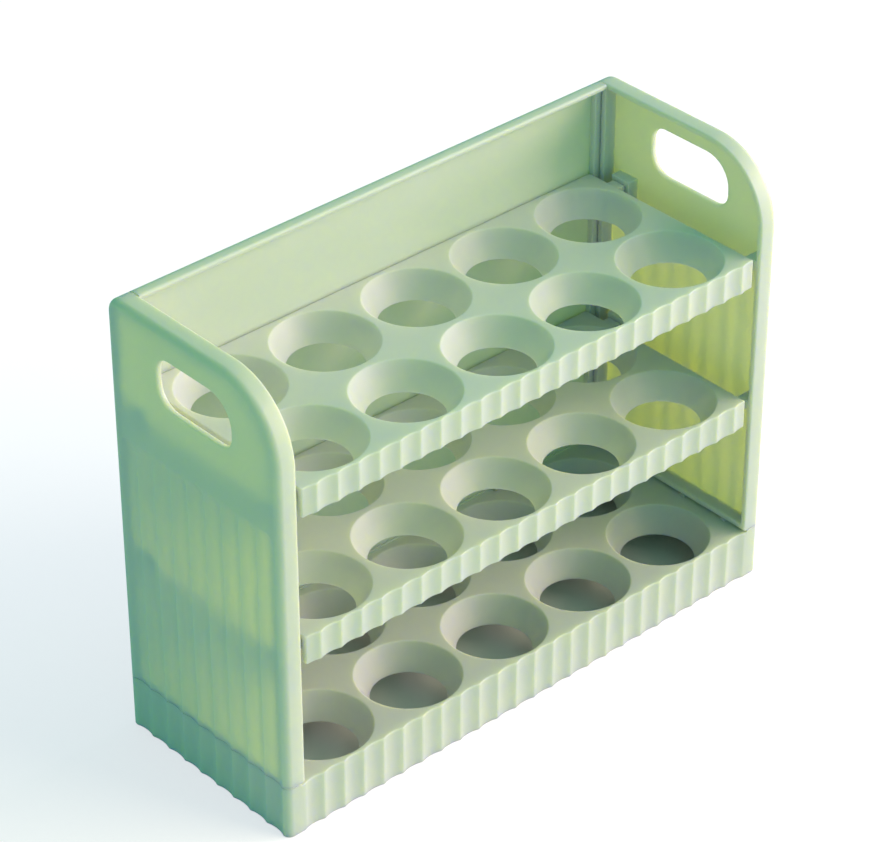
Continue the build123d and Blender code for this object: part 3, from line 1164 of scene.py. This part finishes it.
@dataclass(frozen=True)
class Tint:
    """Slow drift of the tint, as flow and wall thickness give a moulding."""

    scale: float = 9.0
    detail: float = 3.0
    range: Point = (0.35, 0.65)
    pale: Colour = (0.745, 0.772, 0.695, 1.0)
    deep: Colour = (0.71, 0.748, 0.662, 1.0)

    def group(self) -> bpy.types.ShaderNodeTree:
        """Build the group once."""
        graph = Graph(bpy.data.node_groups.new("tint drift", "ShaderNodeTree"))
        graph.socket("Pale", "Color", "INPUT", self.pale)
        graph.socket("Deep", "Color", "INPUT", self.deep)
        graph.socket("Color", "Color", "OUTPUT")
        ins, outs = graph.ends()
        where = graph.add("TexCoord")
        noise = graph.add("TexNoise", Scale=self.scale, Detail=self.detail)
        graph.join(where, "Object", (noise, "Vector"))
        span = graph.add("MapRange", From_Min=self.range[0], From_Max=self.range[1])
        graph.join(noise, "Fac", (span, "Value"))
        mix = graph.add("Mix")
        mix.data_type = "RGBA"
        graph.join(span, "Result", (mix, 0))
        graph.join(ins, "Pale", (mix, 6))
        graph.join(ins, "Deep", (mix, 7))
        graph.join(mix, 2, (outs, "Color"))
        return graph.tree


@dataclass(frozen=True)
class PaintedEdgeHighlight:
    """Painted highlight: convex edges made a little paler in colour, as rounded edges catch the light, and a
    little smoother, here more and there less.
    """

    low: float = 0.505
    high: float = 0.62
    scale: float = 35.0
    detail: float = 4.0
    range: Point = (0.3, 0.65)
    # The colour of the painted highlight on convex edges.
    pale: Colour = (0.85, 0.875, 0.83, 1.0)
    most: float = 0.55
    least_share: float = 0.4
    smooth: float = 0.3

    def group(self) -> bpy.types.ShaderNodeTree:
        """Build the group once."""
        graph = Graph(bpy.data.node_groups.new("painted edge highlight", "ShaderNodeTree"))
        graph.socket("Color", "Color", "INPUT")
        graph.socket("Roughness", "Float", "INPUT")
        graph.socket("Pale", "Color", "INPUT", self.pale)
        graph.socket("Smooth", "Float", "INPUT", self.smooth)
        graph.socket("Color", "Color", "OUTPUT")
        graph.socket("Roughness", "Float", "OUTPUT")
        ins, outs = graph.ends()
        shape, where = graph.add("NewGeometry"), graph.add("TexCoord")
        noise = graph.add("TexNoise", Scale=self.scale, Detail=self.detail)
        graph.join(where, "Object", (noise, "Vector"))
        # Painted highlight: convex edges, found by their pointiness, are mixed towards the pale colour and
        # made smoother.
        edge = graph.add("MapRange", From_Min=self.low, From_Max=self.high)
        patch = graph.add("MapRange", From_Min=self.range[0], From_Max=self.range[1],
                          To_Min=self.least_share * self.most, To_Max=self.most)
        both = graph.add("Math")
        both.operation = "MULTIPLY"
        graph.join(shape, "Pointiness", (edge, "Value"))
        graph.join(noise, "Fac", (patch, "Value"))
        graph.join(edge, "Result", (both, 0))
        graph.join(patch, "Result", (both, 1))
        colour, rough = graph.add("Mix"), graph.add("Mix")
        colour.data_type = "RGBA"
        graph.join(both, 0, (colour, 0), (rough, 0))
        graph.join(ins, "Color", (colour, 6))
        graph.join(ins, "Pale", (colour, 7))
        graph.join(ins, "Roughness", (rough, 2))
        graph.join(ins, "Smooth", (rough, 3))
        graph.join(colour, 2, (outs, "Color"))
        graph.join(rough, 0, (outs, "Roughness"))
        return graph.tree


@dataclass(frozen=True)
class TintedPlastic:
    """Tinted plastic that lets some light through, with a satin moulded face."""

    name: str = "tinted plastic"
    glow: float = 1.0
    reach: float = 0.006
    spread: Place = (0.9, 0.95, 0.2)
    refraction: float = 1.49
    bump: float = 0.06
    bump_height: float = 0.0002
    grain: Grain = field(default_factory=Grain)
    tint: Tint = field(default_factory=Tint)
    edge_highlight: PaintedEdgeHighlight = field(default_factory=PaintedEdgeHighlight)

    def material(self) -> bpy.types.Material:
        """Build the material once, for every moulding."""
        paint = bpy.data.materials.new(self.name)
        paint.use_nodes = True
        graph = Graph(paint.node_tree)
        shader = graph.tree.nodes["Principled BSDF"]
        shader.subsurface_method = "RANDOM_WALK"
        shader.inputs["Subsurface Weight"].default_value = self.glow
        shader.inputs["Subsurface Radius"].default_value = self.spread
        shader.inputs["Subsurface Scale"].default_value = self.reach
        shader.inputs["IOR"].default_value = self.refraction
        grain, tint, edge_highlight = (graph.add("Group") for _ in range(3))
        grain.node_tree, tint.node_tree = self.grain.group(), self.tint.group()
        edge_highlight.node_tree = self.edge_highlight.group()
        bump = graph.add("Bump", Strength=self.bump, Distance=self.bump_height)
        graph.join(grain, "Height", (bump, "Height"))
        graph.join(bump, "Normal", (shader, "Normal"))
        # The tint passes through the painted edge highlight, which makes the convex edges paler, before it
        # becomes the base colour.
        graph.join(grain, "Roughness", (edge_highlight, "Roughness"))
        graph.join(tint, "Color", (edge_highlight, "Color"))
        graph.join(edge_highlight, "Roughness", (shader, "Roughness"))
        graph.join(edge_highlight, "Color", (shader, "Base Color"))
        return paint


@dataclass(frozen=True)
class Lamp:
    """A soft rectangular lamp that faces the middle of the holder.

    Turn and rise are its direction in degrees, from the front towards the right and upwards.
    """

    name: str
    turn: float
    rise: float
    size: Point
    power: float
    colour: Place
    distance: float = 3.0
    aim: float = 0.1

    def build(self) -> None:
        """Place the lamp."""
        light = bpy.data.lights.new(self.name, "AREA")
        light.shape = "RECTANGLE"
        light.size, light.size_y = self.size
        light.energy = self.power
        light.color = self.colour
        thing = bpy.data.objects.new(self.name, light)
        turn, rise = math.radians(self.turn), math.radians(self.rise)
        away = Vector((math.sin(turn) * math.cos(rise), -math.cos(turn) * math.cos(rise), math.sin(rise)))
        thing.location = away * self.distance + Vector((0, 0, self.aim))
        thing.rotation_euler = (-away).to_track_quat("-Z", "Y").to_euler()
        bpy.context.scene.collection.objects.link(thing)


@dataclass(frozen=True)
class Studio:
    """Camera, lamps, soft world light and a plain pale floor."""

    lens: float = 138.51
    sensor: float = 36.0
    eye: Place = (-0.7892, -0.8663, 0.9085)
    azimuth: float = -42.197
    elevation: float = 34.093
    far: float = 50.0
    lamps: tuple[Lamp, ...] = (
        Lamp("key", 70, 16, (2.6, 1.25), 59.0, (1.0, 0.77, 0.92)),
        Lamp("front", 40, 30, (2.3, 1.6), 54.0, (1.0, 0.80, 0.58)),
    )
    sky: Colour = (0.31, 1.0, 0.82, 1)
    sky_strength: float = 0.40
    floor_half: float = 6000.0
    floor_colour: Colour = (0.86, 0.87, 0.87, 1)
    floor_roughness: float = 0.9
    floor_gloss: float = 0.1
    lift: Colour = (0.61, 0.475, 0.56, 1)
    lift_edge: Point = (2.2, 0.8)

    def camera(self) -> None:
        """The camera at the photograph's viewing angle."""
        lens = bpy.data.cameras.new("camera")
        lens.lens = self.lens
        lens.sensor_width = self.sensor
        lens.sensor_fit = "HORIZONTAL"
        lens.clip_end = self.far
        eye = bpy.data.objects.new("camera", lens)
        eye.location = self.eye
        eye.rotation_euler = (math.radians(90 - self.elevation), 0, math.radians(self.azimuth))
        bpy.context.scene.collection.objects.link(eye)
        bpy.context.scene.camera = eye

    def world(self) -> None:
        """Soft even light, and white behind everything."""
        sky = bpy.data.worlds.new("studio")
        sky.use_nodes = True
        graph = Graph(sky.node_tree)
        seen, soft = graph.add("Background", Color=(1, 1, 1, 1)), graph.tree.nodes["Background"]
        soft.inputs["Color"].default_value = self.sky
        soft.inputs["Strength"].default_value = self.sky_strength
        path, mix, out = graph.add("LightPath"), graph.add("MixShader"), graph.tree.nodes["World Output"]
        graph.join(path, "Is Camera Ray", (mix, 0))
        graph.join(soft, 0, (mix, 1))
        graph.join(seen, 0, (mix, 2))
        graph.join(mix, 0, (out, "Surface"))
        bpy.context.scene.world = sky

    def floor_paint(self) -> bpy.types.Material:
        """The floor's material, lifted to white for the camera all round the holder."""
        paint = bpy.data.materials.new("pale floor")
        paint.use_nodes = True
        graph = Graph(paint.node_tree)
        shader = graph.tree.nodes["Principled BSDF"]
        shader.inputs["Base Color"].default_value = self.floor_colour
        shader.inputs["Roughness"].default_value = self.floor_roughness
        shader.inputs["Specular IOR Level"].default_value = self.floor_gloss
        path, add = graph.add("LightPath"), graph.add("AddShader")
        lift = graph.add("Emission", Color=self.lift)
        where, reach, split = graph.add("TexCoord"), graph.add("VectorMath"), graph.add("SeparateXYZ")
        reach.operation = "ABSOLUTE"
        graph.join(where, "Object", (reach, 0))
        graph.join(reach, 0, (split, 0))
        open_air, seen = graph.add("Math"), graph.add("Math")
        open_air.operation, seen.operation = "MAXIMUM", "MULTIPLY"
        for i, (side, half) in enumerate((("X", SIZES.half_width), ("Y", SIZES.half_depth))):
            edge = graph.add("MapRange", From_Min=(half - self.lift_edge[0]) * MM,
                             From_Max=(half - self.lift_edge[1]) * MM)
            graph.join(split, side, (edge, "Value"))
            graph.join(edge, 0, (open_air, i))
        graph.join(open_air, 0, (seen, 0))
        graph.join(path, "Is Camera Ray", (seen, 1))
        graph.join(seen, 0, (lift, "Strength"))
        graph.join(shader, 0, (add, 0))
        graph.join(lift, 0, (add, 1))
        graph.join(add, 0, (graph.tree.nodes["Material Output"], "Surface"))
        return paint

    def floor(self) -> None:
        """A wide pale floor that shows nearly white and keeps the shadow."""
        form = Form()
        form.plate((-self.floor_half, -self.floor_half), (self.floor_half, self.floor_half))
        form.place(Matrix.Scale(MM, 4))
        thing = form.as_object("floor")
        form.bm.free()
        thing.data.materials.append(self.floor_paint())

    def build(self) -> None:
        """Set the whole stage."""
        self.camera()
        self.world()
        self.floor()
        for lamp in self.lamps:
            lamp.build()


def show(name: str, body: Body, form: Form, paint: bpy.types.Material) -> bpy.types.Object:
    """Turn a closed form into a finished piece in place of its CAD node.

    Args:
        name: The piece's name and that of the node it stands for.
        body: The body that it rides on.
        form: The form, in millimetres.
        paint: Its material.

    Returns:
        The finished object.
    """
    form.place(Matrix.Scale(MM, 4))
    bmesh.ops.recalc_face_normals(form.bm, faces=form.bm.faces)
    for face in form.bm.faces:
        face.smooth = True
    for edge in form.bm.edges:
        edge.smooth = not edge.is_manifold or math.degrees(edge.calc_face_angle(0.0)) < 35.0
    thing = form.as_object(f"{name}_moulding")
    form.bm.free()
    thing.data.materials.append(paint)
    shade = thing.modifiers.new("even shading", "WEIGHTED_NORMAL")
    shade.keep_sharp = True
    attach(thing, body.value)
    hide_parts(name)
    return thing


def main() -> None:
    """Build every moulding, dress it and set the stage."""
    logging.basicConfig(level=logging.INFO, format="%(name)s: %(message)s")
    logging.getLogger().setLevel(logging.INFO)
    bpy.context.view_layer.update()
    paint = TintedPlastic().material()
    mouldings = [
        BaseTray(),
        SidePanel("right_side_panel"),
        SidePanel("left_side_panel", mirrored=True),
        BackPanel(),
        FlipTray("middle_tray", Body.MIDDLE, SIZES.middle_deck),
        FlipTray("top_tray", Body.TOP, SIZES.top_deck),
    ]
    for part in mouldings:
        form = part.build()
        loose = sum(not e.is_manifold for e in form.bm.edges)
        thing = show(part.name, part.body, form, paint)
        LOG.info("%s: %d faces, %d open edges", thing.name, len(thing.data.polygons), loose)
    Studio().build()
    bpy.context.scene.view_settings.view_transform = "Standard"


if __name__ == "__main__":
    main()
